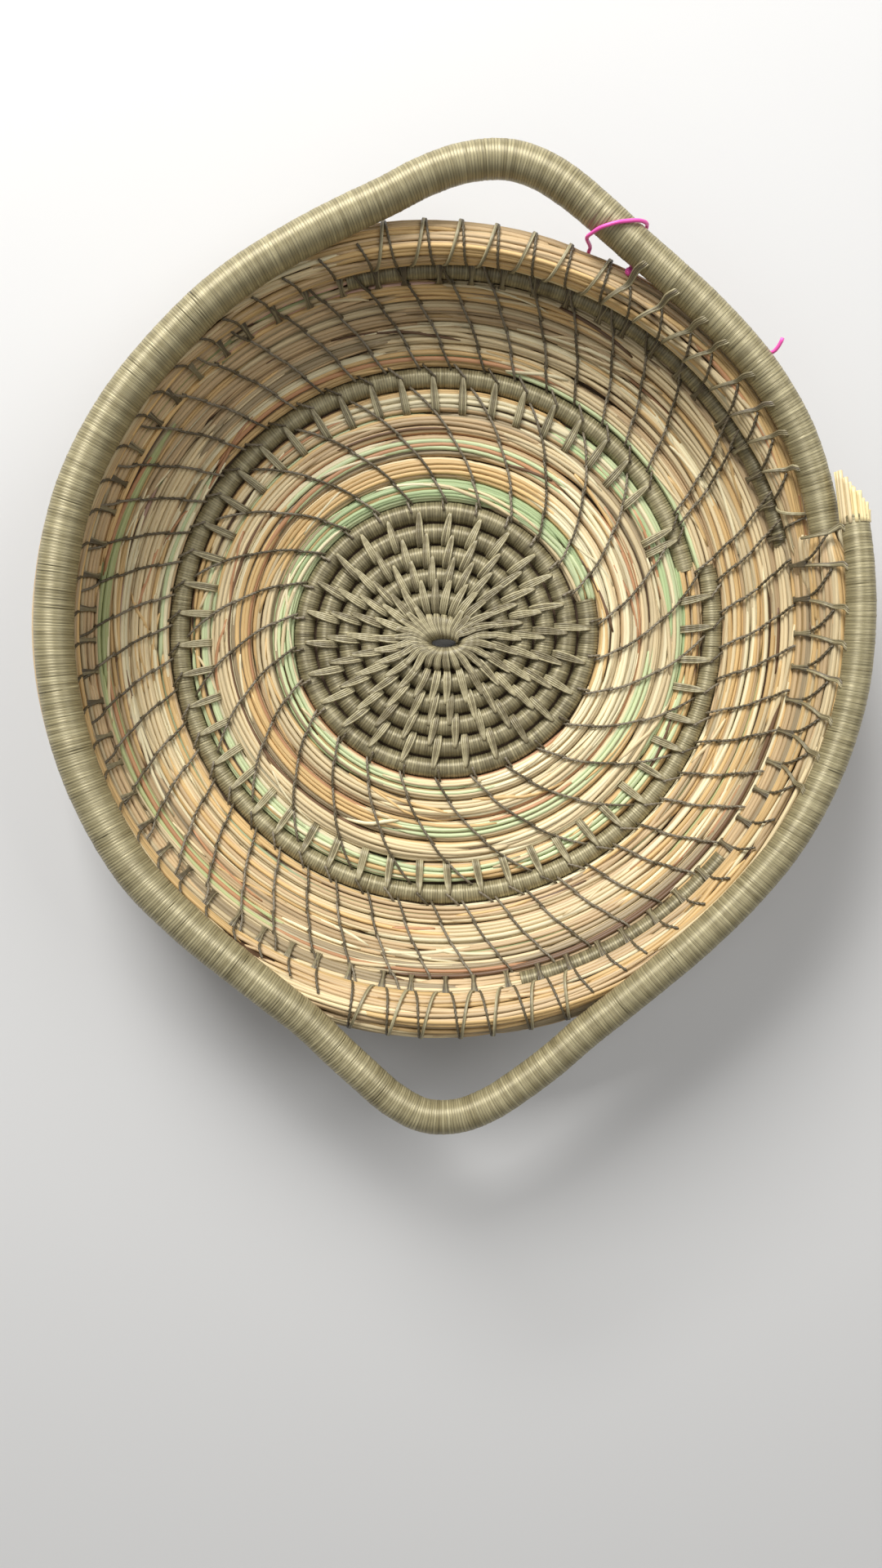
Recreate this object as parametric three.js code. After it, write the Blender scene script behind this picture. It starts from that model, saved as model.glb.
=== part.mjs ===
// Pine needle basket: a shallow round bowl, coiled as one long bundle of pine needles from the
// centre of the floor outwards, sewn row to row in spokes, with a thicker rim. Past the rim the
// bundle is wrapped in thread and runs round once more, swinging out into two looped handles.
// Millimetres, +Z up. The bowl stands on the flat underside of its floor.
import * as THREE from 'three';

// Coil bundle on the floor and wall: row to row, the clearance that is left between neighbouring
// rows, and the clearance between the end faces of two stretches
const rowPitch = 5.85;
const rowGap = 0.56;
const seamGap = 0.3;

// Stretches of the coil, in turns, from the centre outwards. The row under the rim is wrapped
// only for its first part, and runs on bare into the rim.
const centreTurns = 6;
const floorTurns = 5;
const floorBandTurns = 1;
const wallTurns = 4;
const underRimTurns = 1;
const wallBandTurns = 0.25;
const rimTurns = 1;

// Every stretch starts and ends at this angle, in degrees from +X, and the coil runs
// anticlockwise seen from above
const changeAngle = 15;

// Eye of the coil: radius of the centreline where it starts, thickness of the bundle there as a
// share of the full one, how far the first turn is pressed flat along Y, and how far the wrapped
// centre is drawn in along X, which wears off over its turns
const eyeRadius = 5;
const eyeThickness = 0.8;
const eyeTaperTurns = 1;
const eyeSqueeze = 1.7;
const eyeSqueezeTurns = 1.3;
const eyeDraw = 2.2;

// The coil starts oval, longer along X, and is round at the rim
const startOval = 2;

// Bowl form: radius at which the floor starts to turn up, and radius of that bend
const flatFloorRadius = 66;
const wallBendRadius = 34;

// Rim bundle: thickness, slope at which it is set outside the row below, and how far it has come
// to both at each share of its turn
const rimDiameter = 11.2;
const rimSlope = 56;
const rimGrowth = [
  [0, 0], [0.025, 0.3], [0.06, 0.55], [0.1, 0.62], [0.15, 0.64], [0.21, 0.76], [0.28, 0.93],
  [0.32, 1], [1, 1],
];

// Wrapped bundle that lies on the rim and forms the handles: angle and thickness there, its
// clearance over the rim, and how far out it may lean before it hangs level, as a share of its
// distance from the rim's centreline
const handleThickness = [
  [15, 8.2], [30, 8.9], [75, 9.6], [115, 9.3], [150, 9.9], [220, 10.2], [268, 9], [330, 8.4],
  [365, 8], [378, 7],
];
const handleGap = 0.4;
const handleLean = 0.5;

// Route of the wrapped bundle: angle, and distance outside the rim's centreline
const handleRoute = [
  [21, 5.8], [30, 7], [40, 7.3], [50, 7.7], [58, 8.7], [64, 10.2], [69, 12.5], [74, 15.5],
  [78, 17.5], [82, 18.2], [87, 16.4], [92, 12.9], [97, 8.9], [103, 5.8], [110, 3], [119, 0.8],
  [128, -0.9], [145, -2.1], [161, -2.3], [180, -2.8], [198, -2.5], [216, -1.8], [228, -1.9],
  [238, -0.9], [245, 1.4], [251, 5.2], [256, 10.3], [260, 15.1], [264, 20.6], [268, 24.4],
  [272, 24.5], [276, 21.8], [280, 17.7], [285, 12.8], [290, 8.3], [296, 4.9], [302, 2.4],
  [310, 1], [320, 0.8], [330, 1.6], [341, 2.4], [352, 3.2], [362, 3.6], [370, 4.4], [376, 5.9],
];

// Bare needle end that sticks out of the wrapping: length, thickness, and length of its bevel
const needleEndLength = 12.5;
const needleEndDiameter = 7;
const needleEndBevel = 6;

// Stitch spokes: number that cross the floor, twice as many on the wall, thread thickness, its
// clearance over the rows, its dip between rows, and the first row that it crosses
const floorSpokes = 26;
const threadDiameter = 1;
const threadClearance = 0.3;
const threadDip = 0.7;
const firstSpokeTurn = 2;

// How far a spoke leans anticlockwise from one row to the next, in degrees
const centreLean = 1.5;
const floorLean = 4.4;
const wallLean = 1.8;

// Facets
const stepsPerTurn = 24;
const coilSides = 6;
const rimStepsPerTurn = 48;
const rimSides = 8;
const handleSteps = 110;
const threadSides = 3;

// Turns at which the stretches change
const centreEnd = centreTurns;
const floorEnd = centreEnd + floorTurns;
const floorBandEnd = floorEnd + floorBandTurns;
const wallEnd = floorBandEnd + wallTurns;
const wallBandEnd = wallEnd + wallBandTurns;
const rimStart = wallEnd + underRimTurns;
const rimEnd = rimStart + rimTurns;

const coilRadius = (rowPitch - rowGap) / 2;
const rimRadius = rimDiameter / 2;
const needleEndRadius = needleEndDiameter / 2;
const threadRadius = threadDiameter / 2;
const up = new THREE.Vector3(0, 0, 1);

function radians(degrees) {
  return THREE.MathUtils.degToRad(degrees);
}

// Value at a place in a table of places and values
function lookUp(table, at) {
  const next = Math.max(1, table.findIndex(([place]) => place >= at));
  const [from, value] = table[next - 1];
  const [to, nextValue] = table[next];
  return THREE.MathUtils.mapLinear(at, from, to, value, nextValue);
}

// How far the rim has come to its full thickness and slope at a turn
function rimGrown(turn) {
  return lookUp(rimGrowth, turn - rimStart);
}

// Radius of the bundle at a turn
function bundleRadius(turn) {
  if (turn > rimStart) {
    return THREE.MathUtils.lerp(coilRadius, rimRadius, rimGrown(turn));
  }
  const tapered = Math.min(1, turn / eyeTaperTurns);
  return coilRadius * THREE.MathUtils.lerp(eyeThickness, 1, tapered);
}

// The bowl's section at a turn: flat floor, then a wall that bends up with one radius
function bowlSection(turn) {
  const distance = eyeRadius + rowPitch * turn;
  const slope = Math.max(0, (distance - flatFloorRadius) / wallBendRadius);
  return {
    radius: Math.min(distance, flatFloorRadius) + wallBendRadius * Math.sin(slope),
    height: wallBendRadius * (1 - Math.cos(slope)),
    slope,
  };
}

// Place of a turn on the section. The rim is set outside the row below at its own slope.
function sectionAt(turn) {
  if (turn <= rimStart) {
    return bowlSection(turn);
  }
  const below = sectionAt(turn - 1);
  const apart = bundleRadius(turn - 1) + bundleRadius(turn) + rowGap;
  const wallLine = bowlSection(turn - 0.5).slope;
  const slope = THREE.MathUtils.lerp(wallLine, radians(rimSlope), rimGrown(turn));
  return {
    radius: below.radius + apart * Math.cos(slope),
    height: below.height + apart * Math.sin(slope),
    slope,
  };
}

// Height of the coil's centreline over the underside. On the floor its facets lie flat on the
// ground, and where it tilts its lowest edge stays clear of it.
function clearHeight(slope) {
  const facet = Math.PI / coilSides;
  return coilRadius * Math.cos(facet - Math.min(slope, facet));
}

function turnAngle(turn) {
  return radians(changeAngle) + 2 * Math.PI * turn;
}

// Centreline of the coil at a turn, with the normal that points into the bowl
function coilPoint(turn) {
  const at = sectionAt(turn);
  const angle = turnAngle(turn);
  const oval = startOval * Math.max(0, 1 - turn / rimStart);
  const squeeze = eyeSqueeze * Math.max(0, 1 - turn / eyeSqueezeTurns);
  const draw = eyeDraw * Math.max(0, 1 - turn / centreEnd);
  const x = (at.radius + oval - draw) * Math.cos(angle);
  const y = (at.radius - oval - squeeze) * Math.sin(angle);
  const inward = new THREE.Vector3(-Math.cos(angle), -Math.sin(angle), 0);
  const normal = inward.multiplyScalar(Math.sin(at.slope)).addScaledVector(up, Math.cos(at.slope));
  return { centre: new THREE.Vector3(x, y, clearHeight(at.slope) + at.height), normal };
}

function coilAlong(turn) {
  return coilPoint(turn).centre.sub(coilPoint(turn - 0.001).centre).normalize();
}

// Closed tube through stations that each hold a centre, a radius and a side direction. Two
// corners of its section point along the side direction, and the ends are flat.
function tube(stations, sides) {
  const points = [];
  stations.forEach((station, index) => {
    const before = stations[Math.max(index - 1, 0)].centre;
    const after = stations[Math.min(index + 1, stations.length - 1)].centre;
    const along = station.along ?? after.clone().sub(before).normalize();
    const side = station.side.clone().addScaledVector(along, -station.side.dot(along)).normalize();
    const top = along.clone().cross(side);
    for (let corner = 0; corner < sides; corner += 1) {
      const angle = (2 * Math.PI * corner) / sides;
      const reach = station.radius;
      const point = station.centre.clone();
      point.addScaledVector(side, reach * Math.cos(angle));
      point.addScaledVector(top, reach * Math.sin(angle));
      if (station.slant) {
        point.addScaledVector(along, station.slant * Math.cos(angle));
      }
      points.push(point);
    }
  });
  const faces = [];
  const ringCount = stations.length;
  for (let ring = 0; ring < ringCount - 1; ring += 1) {
    for (let corner = 0; corner < sides; corner += 1) {
      const a = ring * sides + corner;
      const b = ring * sides + ((corner + 1) % sides);
      faces.push([a, b, b + sides], [a, b + sides, a + sides]);
    }
  }
  const last = (ringCount - 1) * sides;
  for (let corner = 1; corner < sides - 1; corner += 1) {
    faces.push([0, corner + 1, corner], [last, last + corner, last + corner + 1]);
  }
  const geometry = new THREE.BufferGeometry().setFromPoints(points);
  geometry.setIndex(faces.flat());
  return geometry;
}

// Stations along the coil between two turns, kept apart from the next stretch at each end
function coilStations(from, to, steps) {
  const length = 2 * Math.PI;
  const startTrim = seamGap / 2 / (length * sectionAt(from).radius);
  const endTrim = seamGap / 2 / (length * sectionAt(to).radius);
  const count = Math.round((to - from) * steps);
  const stations = [];
  for (let step = 0; step <= count; step += 1) {
    let turn = from + step / steps;
    if (step === 0) {
      turn += startTrim;
    }
    if (step === count) {
      turn -= endTrim;
    }
    const { centre, normal } = coilPoint(turn);
    const along = coilAlong(turn);
    const side = along.clone().cross(normal);
    stations.push({ centre, radius: bundleRadius(turn), along, side });
  }
  return stations;
}

const stretches = [
  { name: 'centre_coil', from: 0, to: centreEnd, colour: 0x8a7f5c },
  { name: 'floor_coil', from: centreEnd, to: floorEnd, colour: 0xb8a06a },
  { name: 'floor_band_coil', from: floorEnd, to: floorBandEnd, colour: 0x8a7f5c },
  { name: 'wall_coil', from: floorBandEnd, to: wallEnd, colour: 0xb39866 },
  { name: 'wall_band_coil', from: wallEnd, to: wallBandEnd, colour: 0x6f6648 },
];
const rimStretch = { name: 'rim_coil', from: wallBandEnd, to: rimEnd, colour: 0xc49a5a };

// Least gap of a winding to itself, measured between its centreline points on different turns
function leastGap(stations, apart) {
  let least = Infinity;
  for (let first = 0; first < stations.length; first += 1) {
    for (let second = first + apart; second < stations.length; second += 1) {
      const span = stations[first].centre.distanceTo(stations[second].centre);
      least = Math.min(least, span - stations[first].radius - stations[second].radius);
    }
  }
  return least;
}

// Radius of the wrapped bundle at an angle
function handleRadius(angle) {
  return lookUp(handleThickness, angle) / 2;
}

// Centreline of the wrapped bundle. It carries on from the end of the rim's bundle, climbs onto
// the rim's start, and rests on the rim wherever it doesn't swing out into a handle.
function handleCurve() {
  const points = [coilPoint(rimEnd - 0.012).centre, coilPoint(rimEnd).centre];
  handleRoute.forEach(([angle, out]) => {
    const turn = Math.min(rimStart + (angle - changeAngle) / 360, rimEnd);
    const under = turn < rimEnd ? bundleRadius(turn) : handleRadius(changeAngle);
    const seat = under + handleRadius(angle) + handleGap;
    const lean = Math.min(Math.abs(out) / seat, handleLean);
    const rise = seat * Math.sqrt(1 - lean * lean);
    const rim = coilPoint(turn).centre;
    const reach = Math.hypot(rim.x, rim.y) + out;
    const x = reach * Math.cos(radians(angle));
    const y = reach * Math.sin(radians(angle));
    points.push(new THREE.Vector3(x, y, rim.z + rise));
  });
  return new THREE.CatmullRomCurve3(points, false, 'centripetal');
}

const wrapped = handleCurve();
const wrappedLength = wrapped.getLength();

// Place on the wrapped bundle at a distance from the end of the rim's bundle
const leadIn = coilPoint(rimEnd).centre.distanceTo(coilPoint(rimEnd - 0.012).centre);
function wrappedStation(distance, radius, slant) {
  const share = (leadIn + distance) / wrappedLength;
  const centre = wrapped.getPointAt(Math.min(share, 1));
  if (share > 1) {
    centre.addScaledVector(wrapped.getTangentAt(1), wrappedLength * (share - 1));
  }
  const along = wrapped.getTangentAt(Math.min(share, 1));
  return { centre, radius, slant, along, side: along.clone().cross(up) };
}

// The wrapped bundle starts square to the end face of the rim's bundle
function handleStations() {
  const stations = [];
  const end = wrappedLength - leadIn;
  for (let step = 0; step <= handleSteps; step += 1) {
    const station = wrappedStation((end * step) / handleSteps, 1, 0);
    const turned = THREE.MathUtils.radToDeg(Math.atan2(station.centre.y, station.centre.x));
    const rounds = turned < changeAngle - 1 || step > handleSteps * 0.9 ? 360 : 0;
    station.radius = handleRadius(turned + rounds);
    stations.push(station);
  }
  stations[0].along = coilAlong(rimEnd);
  stations[0].centre.addScaledVector(stations[0].along, seamGap / 2);
  return stations;
}

// The bare needle end carries on straight from the wrapping and is cut off at a slant, shorter
// on its outer side
function needleEndStations() {
  const start = wrappedLength - leadIn + seamGap;
  const slant = needleEndBevel / 2;
  return [
    wrappedStation(start, needleEndRadius * 0.9, 0),
    wrappedStation(start + needleEndLength * 0.35, needleEndRadius, -slant * 0.2),
    wrappedStation(start + needleEndLength - slant, needleEndRadius * 0.85, -slant),
  ];
}

// Places where a spoke crosses the coil: straight over each row, leaning from row to row
function leanPerRow(turn) {
  if (turn < centreEnd) {
    return centreLean;
  }
  return turn < floorBandEnd ? floorLean : wallLean;
}

// Point on a coil row's facets, between its stations, raised off the centreline
function overRow(turn, raise) {
  const step = Math.floor(turn * stepsPerTurn);
  const share = turn * stepsPerTurn - step;
  const first = coilPoint(step / stepsPerTurn);
  const second = coilPoint((step + 1) / stepsPerTurn);
  const normal = first.normal.lerp(second.normal, share).normalize();
  return first.centre.lerp(second.centre, share).addScaledVector(normal, raise);
}

// One spoke of stitches: over the crown of each row, with a dip between rows
function spokeStations(startTurn, endTurn) {
  const crown = coilRadius + threadClearance + threadRadius;
  const stations = [];
  let turn = startTurn;
  const place = (centre) => stations.push({ centre, radius: threadRadius });
  while (turn < endTurn) {
    const next = turn + 1 + leanPerRow(turn) / 360;
    const here = overRow(turn, crown);
    const dip = overRow(turn, crown - threadDip).lerp(overRow(next, crown - threadDip), 0.5);
    place(here);
    place(next < endTurn ? dip : here.clone().lerp(dip, 0.8));
    turn = next;
  }
  stations.forEach((station, index) => {
    const before = stations[Math.max(index - 1, 0)].centre;
    const after = stations[Math.min(index + 1, stations.length - 1)].centre;
    station.side = after.clone().sub(before).cross(up).cross(after.clone().sub(before));
  });
  return stations;
}

const basket = new THREE.Group();

function addPiece(name, geometry, colour, roughness) {
  const material = new THREE.MeshStandardMaterial({ color: colour, roughness, metalness: 0 });
  geometry.computeVertexNormals();
  const piece = new THREE.Mesh(geometry, material);
  piece.name = name;
  basket.add(piece);
}

stretches.forEach((stretch) => {
  const stations = coilStations(stretch.from, stretch.to, stepsPerTurn);
  addPiece(stretch.name, tube(stations, coilSides), stretch.colour, 0.7);
  if (stretch.to - stretch.from > 1) {
    const gap = leastGap(stations, stepsPerTurn / 2);
    console.log(`${stretch.name}: least gap to itself ${gap.toFixed(2)} mm`);
  }
});

const rimStations = coilStations(rimStretch.from, rimStretch.to, rimStepsPerTurn);
addPiece(rimStretch.name, tube(rimStations, rimSides), rimStretch.colour, 0.6);
const rimGap = leastGap(rimStations, rimStepsPerTurn / 2);
console.log(`${rimStretch.name}: least gap to itself ${rimGap.toFixed(2)} mm`);

const handle = handleStations();
addPiece('handle_coil', tube(handle, rimSides), 0x877b52, 0.5);
console.log(`handle_coil: least gap to itself ${leastGap(handle, 20).toFixed(2)} mm`);
addPiece('needle_end', tube(needleEndStations(), rimSides), 0xd9c08a, 0.8);

// Spokes that cross the floor and the wall, and one more between each two on the wall
for (let spoke = 0; spoke < floorSpokes; spoke += 1) {
  const label = String(spoke + 1).padStart(2, '0');
  const long = spokeStations(firstSpokeTurn + spoke / floorSpokes, rimStart);
  addPiece(`long_spoke_${label}`, tube(long, threadSides), 0x5f563c, 0.7);
  const half = floorEnd + (spoke + 0.5) / floorSpokes;
  addPiece(`short_spoke_${label}`, tube(spokeStations(half, rimStart), threadSides), 0x5f563c, 0.7);
}

// The origin is at the middle of the whole basket's footprint, on the ground
const extent = new THREE.Box3().setFromObject(basket);
const middle = extent.getCenter(new THREE.Vector3());
basket.position.set(-middle.x, -middle.y, -extent.min.z);
const size = extent.getSize(new THREE.Vector3());
console.log(`axis of the bowl at ${(-middle.x).toFixed(2)}, ${(-middle.y).toFixed(2)}`);
console.log(`size ${size.x.toFixed(1)} x ${size.y.toFixed(1)} x ${size.z.toFixed(1)} mm`);

export default basket;
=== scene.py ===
# Pine needle basket: bundles of pine needles coiled from the eye of the floor outwards, wrapped and
# sewn with olive thread, with the last turn swung out into two handles. Metres, +Z up. Each section
# makes one kind of piece, in the order in which such a basket is made.
from math import atan, cos, pi, radians, sin, tau

import bpy
import numpy as np
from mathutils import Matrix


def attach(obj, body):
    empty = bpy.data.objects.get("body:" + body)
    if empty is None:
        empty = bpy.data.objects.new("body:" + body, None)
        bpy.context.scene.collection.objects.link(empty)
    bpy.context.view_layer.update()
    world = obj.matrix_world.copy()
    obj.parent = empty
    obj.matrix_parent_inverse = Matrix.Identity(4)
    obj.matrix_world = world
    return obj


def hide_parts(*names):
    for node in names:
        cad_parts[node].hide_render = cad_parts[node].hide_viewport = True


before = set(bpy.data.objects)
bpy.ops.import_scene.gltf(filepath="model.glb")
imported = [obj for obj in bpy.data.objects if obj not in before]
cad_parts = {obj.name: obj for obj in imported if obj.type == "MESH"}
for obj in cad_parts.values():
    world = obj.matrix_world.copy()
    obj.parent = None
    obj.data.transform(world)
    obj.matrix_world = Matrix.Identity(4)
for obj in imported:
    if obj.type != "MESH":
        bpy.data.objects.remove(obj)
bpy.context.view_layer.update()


# Camera
# The photograph looks down on the bowl from above its eye, tipped a little towards the pointed
# handle. Its focal length and the bowl's axis are read in pixels of the 1080 by 1920 picture.
bowl_axis = (-0.00172, 0.00481)
camera_height = 0.363
photo_height = 1920
photo_focal = 1574
axis_pixel = 779
sensor = 36

tip = atan((photo_height / 2 - axis_pixel) / photo_focal)
bpy.ops.object.camera_add(location=(*bowl_axis, camera_height), rotation=(-tip, 0, 0))
camera = bpy.context.object
camera.data.sensor_fit = "VERTICAL"
camera.data.sensor_height = sensor
camera.data.lens = sensor * photo_focal / photo_height
camera.data.clip_start = 0.01
bpy.context.scene.camera = camera


# Route of the coil
# One bundle of needles, wound anticlockwise from the eye. It lies flat on the floor, climbs the
# wall on a bend of one radius, and ends in a thicker rim. A turn is a whole round of the coil.
row_pitch = 0.00585
row_gap = 0.00056
coil_radius = (row_pitch - row_gap) / 2
rim_radius = 0.0056
rim_slope = radians(56)
rim_growth_turns = (0, 0.025, 0.06, 0.1, 0.15, 0.21, 0.28, 0.32)
rim_growth = (0, 0.3, 0.55, 0.62, 0.64, 0.76, 0.93, 1)
change_angle = radians(15)
eye_radius = 0.005
eye_thickness = 0.8
eye_squeeze = 0.0017
eye_squeeze_turns = 1.3
eye_draw = 0.0022
start_oval = 0.002
flat_floor_radius = 0.066
wall_bend_radius = 0.034
centre_end, floor_end, floor_band_end, wall_end, rim_start, rim_end = 6, 11, 12, 16, 17, 18
path_steps = 240


def rim_grown(turn):
    return np.interp(turn - rim_start, rim_growth_turns, rim_growth)


def bundle_radius(turn):
    tapered = coil_radius * np.interp(turn, [0, 1], [eye_thickness, 1])
    return tapered + (rim_radius - coil_radius) * rim_grown(turn)


def bowl_section(turn):
    distance = eye_radius + row_pitch * turn
    slope = np.maximum(0, (distance - flat_floor_radius) / wall_bend_radius)
    radius = np.minimum(distance, flat_floor_radius) + wall_bend_radius * np.sin(slope)
    return radius, wall_bend_radius * (1 - np.cos(slope)), slope


def row_section(turn):
    radius, height, slope = bowl_section(turn)
    below_radius, below_height, _ = bowl_section(turn - 1)
    apart = bundle_radius(turn - 1) + bundle_radius(turn) + row_gap
    wall_line = bowl_section(turn - 0.5)[2]
    lean = wall_line + (rim_slope - wall_line) * rim_grown(turn)
    on_rim = turn > rim_start
    radius = np.where(on_rim, below_radius + apart * np.cos(lean), radius)
    height = np.where(on_rim, below_height + apart * np.sin(lean), height)
    return radius, height, np.where(on_rim, lean, slope)


def coil_place(turn):
    """Centre of the coil at each turn, and the direction there that points into the bowl. The
    solid's rows have six sides and lie flat on the floor on one of them, hence the facet."""
    turn = np.asarray(turn, float)
    radius, height, slope = row_section(turn)
    angle = change_angle + tau * turn
    oval = start_oval * np.maximum(0, 1 - turn / rim_start)
    squeeze = eye_squeeze * np.maximum(0, 1 - turn / eye_squeeze_turns)
    draw_in = eye_draw * np.maximum(0, 1 - turn / centre_end)
    facet = pi / 6
    clear = coil_radius * np.cos(facet - np.minimum(slope, facet))
    x = bowl_axis[0] + (radius + oval - draw_in) * np.cos(angle)
    y = bowl_axis[1] + (radius - oval - squeeze) * np.sin(angle)
    centre = np.stack([x, y, clear + height], -1)
    inward = np.stack([-np.cos(angle), -np.sin(angle), 0 * angle], -1)
    lift = inward * np.sin(slope)[..., None] + np.array([0, 0, 1]) * np.cos(slope)[..., None]
    return centre, lift


def unit(vectors):
    return vectors / np.linalg.norm(vectors, axis=-1, keepdims=True)


def path_along(centre, lift):
    along = unit(np.gradient(centre, axis=0))
    side = unit(np.cross(along, lift))
    steps = np.linalg.norm(np.diff(centre, axis=0), axis=1)
    run = np.concatenate([[0], np.cumsum(steps)])
    return {"run": run, "centre": centre, "side": side, "lift": np.cross(side, along)}


def coil_path(first, last):
    turns = np.linspace(first, last, int((last - first) * path_steps) + 1)
    path = path_along(*coil_place(turns))
    path["turn"] = turns
    return path


def on_path(path, run):
    """Centre, side and lift of a path at each distance along it."""
    found = []
    for key in ("centre", "side", "lift"):
        axes = [np.interp(run, path["run"], path[key][:, axis]) for axis in range(3)]
        found.append(np.stack(axes, -1))
    return found


# Centre of the coil
# The bundle's start, wrapped close in two-ply olive thread and wound six times round a small slot.
# The wrapping is one thread laid turn beside turn, so the bundle is ribbed all along.
wrap_groove = 0.0001
wrap_flat = 0.62
wrap_swing = 0.13
wrap_uneven = 0.0001
wrap_shade_spread = 0.28
# Share of the thread's colour left in the grooves between wraps, as painted shade.
groove_painted_shade = 0.45
wrap_grain = (4, 1.2, 7.3)
centre_wrap_pitch = 0.00072
centre_wrap_radius = 0.00272
row_spread = 1.08
start_run, start_share = 0.04, 0.84
wrap_shades = (104, 95, 69), (150, 140, 107)


def paint(red, green, blue):
    """Linear colour of a screen colour given from 0 to 255."""
    shares = np.array([red, green, blue]) / 255
    return np.where(shares > 0.04045, ((shares + 0.055) / 1.055) ** 2.4, shares / 12.92)


def dye(mesh, colours, grain):
    """Stores each vertex's colour, and its place along and around its strand."""
    stain = mesh.attributes.new("stain", "FLOAT_COLOR", "POINT")
    stain.data.foreach_set("color", np.column_stack([colours, np.ones(len(colours))]).ravel())
    place = mesh.attributes.new("grain", "FLOAT_VECTOR", "POINT")
    place.data.foreach_set("vector", np.asarray(grain, float).ravel())


def vertices_of(mesh):
    places = np.empty(len(mesh.vertices) * 3)
    mesh.vertices.foreach_get("co", places)
    return places.reshape(-1, 3)


def fibre_material(name, roughness, shades, bump_depth, twist=None, satin=False):
    """Stained fibres with streaks along them. A twist adds the slanted lines of plied thread, and
    satin draws the highlight out along the bundle, as on silky thread wound round it."""
    material = bpy.data.materials.new(name)
    material.use_nodes = True
    nodes = material.node_tree.nodes
    links = material.node_tree.links
    shader = nodes["Principled BSDF"]
    shader.inputs["Roughness"].default_value = roughness
    shader.inputs["Specular IOR Level"].default_value = 1 if satin else 0.5
    if satin:
        shader.inputs["Metallic"].default_value = 0.15
        shader.inputs["Specular Tint"].default_value = (1, 0.93, 0.74, 1)
        shader.inputs["Anisotropic"].default_value = 0.75
        lay = nodes.new("ShaderNodeAttribute")
        lay.attribute_name = "lay"
        links.new(lay.outputs["Vector"], shader.inputs["Tangent"])
    stain = nodes.new("ShaderNodeAttribute")
    stain.attribute_name = "stain"
    grain = nodes.new("ShaderNodeAttribute")
    grain.attribute_name = "grain"
    streaks = nodes.new("ShaderNodeTexNoise")
    streaks.inputs["Scale"].default_value = 1
    streaks.inputs["Detail"].default_value = 4
    links.new(grain.outputs["Vector"], streaks.inputs["Vector"])
    shade = nodes.new("ShaderNodeMapRange")
    shade.inputs["From Min"].default_value = 0.3
    shade.inputs["From Max"].default_value = 0.7
    shade.inputs["To Min"].default_value = shades[0]
    shade.inputs["To Max"].default_value = shades[1]
    links.new(streaks.outputs["Fac"], shade.inputs["Value"])
    tint = nodes.new("ShaderNodeVectorMath")
    tint.operation = "SCALE"
    links.new(stain.outputs["Color"], tint.inputs[0])
    links.new(shade.outputs["Result"], tint.inputs["Scale"])
    links.new(tint.outputs["Vector"], shader.inputs["Base Color"])
    bump = nodes.new("ShaderNodeBump")
    bump.inputs["Strength"].default_value = 0.5
    bump.inputs["Distance"].default_value = bump_depth
    height = streaks.outputs["Fac"]
    if twist:
        slant = nodes.new("ShaderNodeVectorMath")
        slant.operation = "DOT_PRODUCT"
        slant.inputs[1].default_value = twist
        links.new(grain.outputs["Vector"], slant.inputs[0])
        plies = nodes.new("ShaderNodeMath")
        plies.operation = "SINE"
        links.new(slant.outputs["Value"], plies.inputs[0])
        both = nodes.new("ShaderNodeMath")
        both.operation = "ADD"
        links.new(plies.outputs["Value"], both.inputs[0])
        links.new(height, both.inputs[1])
        height = both.outputs["Value"]
    links.new(height, bump.inputs["Height"])
    links.new(bump.outputs["Normal"], shader.inputs["Normal"])
    return material


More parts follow.
